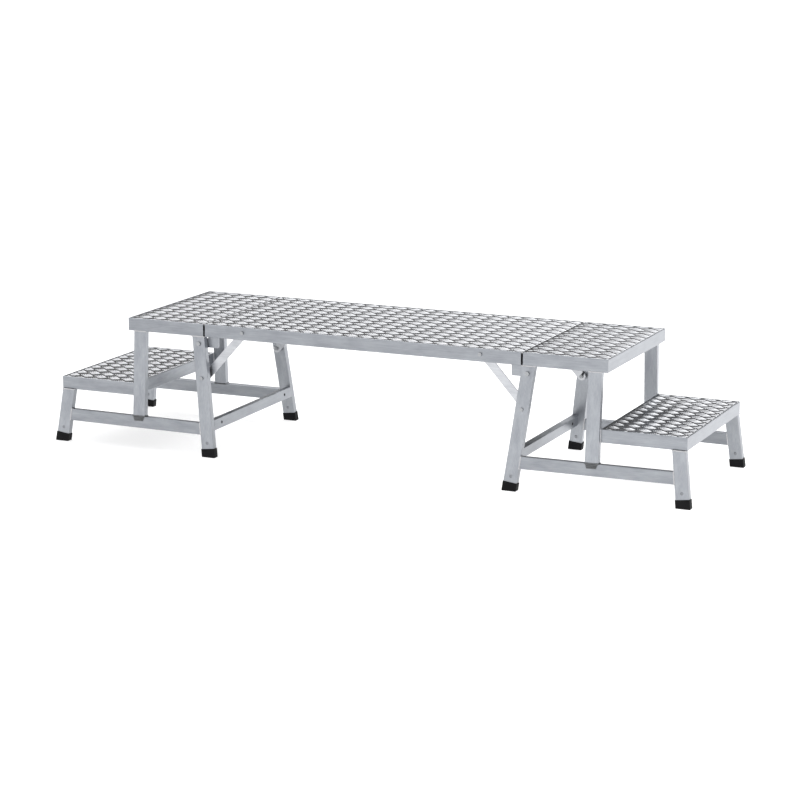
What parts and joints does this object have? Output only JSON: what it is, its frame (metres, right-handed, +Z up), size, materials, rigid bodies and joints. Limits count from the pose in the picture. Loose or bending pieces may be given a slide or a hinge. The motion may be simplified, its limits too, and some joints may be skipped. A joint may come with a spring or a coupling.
{
  "type": "work platform",
  "caption": "Free-standing aluminium work platform: a tread-plate bridge deck between stepped end stands on splayed legs, braced by diagonal stays; the stands fold under the deck.",
  "frame": {"origin": "on the floor under the middle of the bridge deck", "axes": "+X along the deck to the right stand, +Y to the back, +Z up"},
  "size_m": [2.5438, 0.7242, 0.5],
  "materials": {
    "aluminium_tube": "mill finish box tube, satin",
    "tread_plate": "rolled tread plate, bright",
    "black_foot": "black moulded, matt",
    "zinc_steel": "zinc plated, dull"
  },
  "bodies": {
    "bridge": {"front_bridge_rail": "aluminium_tube", "back_bridge_rail": "aluminium_tube", "left_bridge_end_rail": "aluminium_tube", "right_bridge_end_rail": "aluminium_tube", "bridge_bearers": "aluminium_tube", "bridge_deck": "tread_plate", "hinge_lugs": "aluminium_tube", "stay_bolts": "zinc_steel"},
    "left_stand": {"left_upper_inner_rail": "aluminium_tube", "left_upper_outer_rail": "aluminium_tube", "left_step_inner_rail": "aluminium_tube", "left_step_outer_rail": "aluminium_tube", "left_upper_tread": "tread_plate", "left_step_tread": "tread_plate", "left_cross_bar": "aluminium_tube", "left_spigots": "aluminium_tube", "left_feet": "black_foot", "left_pivot_bolts": "zinc_steel", "left_stay_studs": "zinc_steel", "left_rivets": "zinc_steel", "left_front_upper_side_rail": "aluminium_tube", "left_front_step_side_rail": "aluminium_tube", "left_front_inner_leg": "aluminium_tube", "left_front_outer_leg": "aluminium_tube", "left_front_post": "aluminium_tube", "left_front_bottom_rail": "aluminium_tube", "left_back_upper_side_rail": "aluminium_tube", "left_back_step_side_rail": "aluminium_tube", "left_back_inner_leg": "aluminium_tube", "left_back_outer_leg": "aluminium_tube", "left_back_post": "aluminium_tube", "left_back_bottom_rail": "aluminium_tube"},
    "right_stand": {"right_upper_inner_rail": "aluminium_tube", "right_upper_outer_rail": "aluminium_tube", "right_step_inner_rail": "aluminium_tube", "right_step_outer_rail": "aluminium_tube", "right_upper_tread": "tread_plate", "right_step_tread": "tread_plate", "right_cross_bar": "aluminium_tube", "right_spigots": "aluminium_tube", "right_feet": "black_foot", "right_pivot_bolts": "zinc_steel", "right_stay_studs": "zinc_steel", "right_rivets": "zinc_steel", "right_front_upper_side_rail": "aluminium_tube", "right_front_step_side_rail": "aluminium_tube", "right_front_inner_leg": "aluminium_tube", "right_front_outer_leg": "aluminium_tube", "right_front_post": "aluminium_tube", "right_front_bottom_rail": "aluminium_tube", "right_back_upper_side_rail": "aluminium_tube", "right_back_step_side_rail": "aluminium_tube", "right_back_inner_leg": "aluminium_tube", "right_back_outer_leg": "aluminium_tube", "right_back_post": "aluminium_tube", "right_back_bottom_rail": "aluminium_tube"},
    "left_front_stay": {"left_front_stay": "aluminium_tube"},
    "left_back_stay": {"left_back_stay": "aluminium_tube"},
    "right_front_stay": {"right_front_stay": "aluminium_tube"},
    "right_back_stay": {"right_back_stay": "aluminium_tube"}
  },
  "joints": [
    {"name": "left_fold", "type": "hinge", "parent": "bridge", "child": "left_stand", "pos_m": [-0.65487, 0, 0.425], "axis": [0, -1, 0], "range_deg": [0, 83]},
    {"name": "right_fold", "type": "hinge", "parent": "bridge", "child": "right_stand", "pos_m": [0.65487, 0, 0.425], "axis": [0, 1, 0], "range_deg": [0, 83]},
    {"name": "left_front_stay_swing", "type": "hinge", "parent": "bridge", "child": "left_front_stay", "pos_m": [-0.474, -0.297, 0.479], "axis": [0, -1, 0], "range_deg": [0, 131]},
    {"name": "left_back_stay_swing", "type": "hinge", "parent": "bridge", "child": "left_back_stay", "pos_m": [-0.474, 0.297, 0.479], "axis": [0, -1, 0], "range_deg": [0, 131]},
    {"name": "right_front_stay_swing", "type": "hinge", "parent": "bridge", "child": "right_front_stay", "pos_m": [0.474, -0.297, 0.479], "axis": [0, 1, 0], "range_deg": [0, 131]},
    {"name": "right_back_stay_swing", "type": "hinge", "parent": "bridge", "child": "right_back_stay", "pos_m": [0.474, 0.297, 0.479], "axis": [0, 1, 0], "range_deg": [0, 131]}
  ],
  "couplings": [
    {"joint": "left_front_stay_swing", "follows": "left_fold", "ratio": 1.5783},
    {"joint": "left_back_stay_swing", "follows": "left_fold", "ratio": 1.5783},
    {"joint": "right_front_stay_swing", "follows": "right_fold", "ratio": 1.5783},
    {"joint": "right_back_stay_swing", "follows": "right_fold", "ratio": 1.5783}
  ]
}
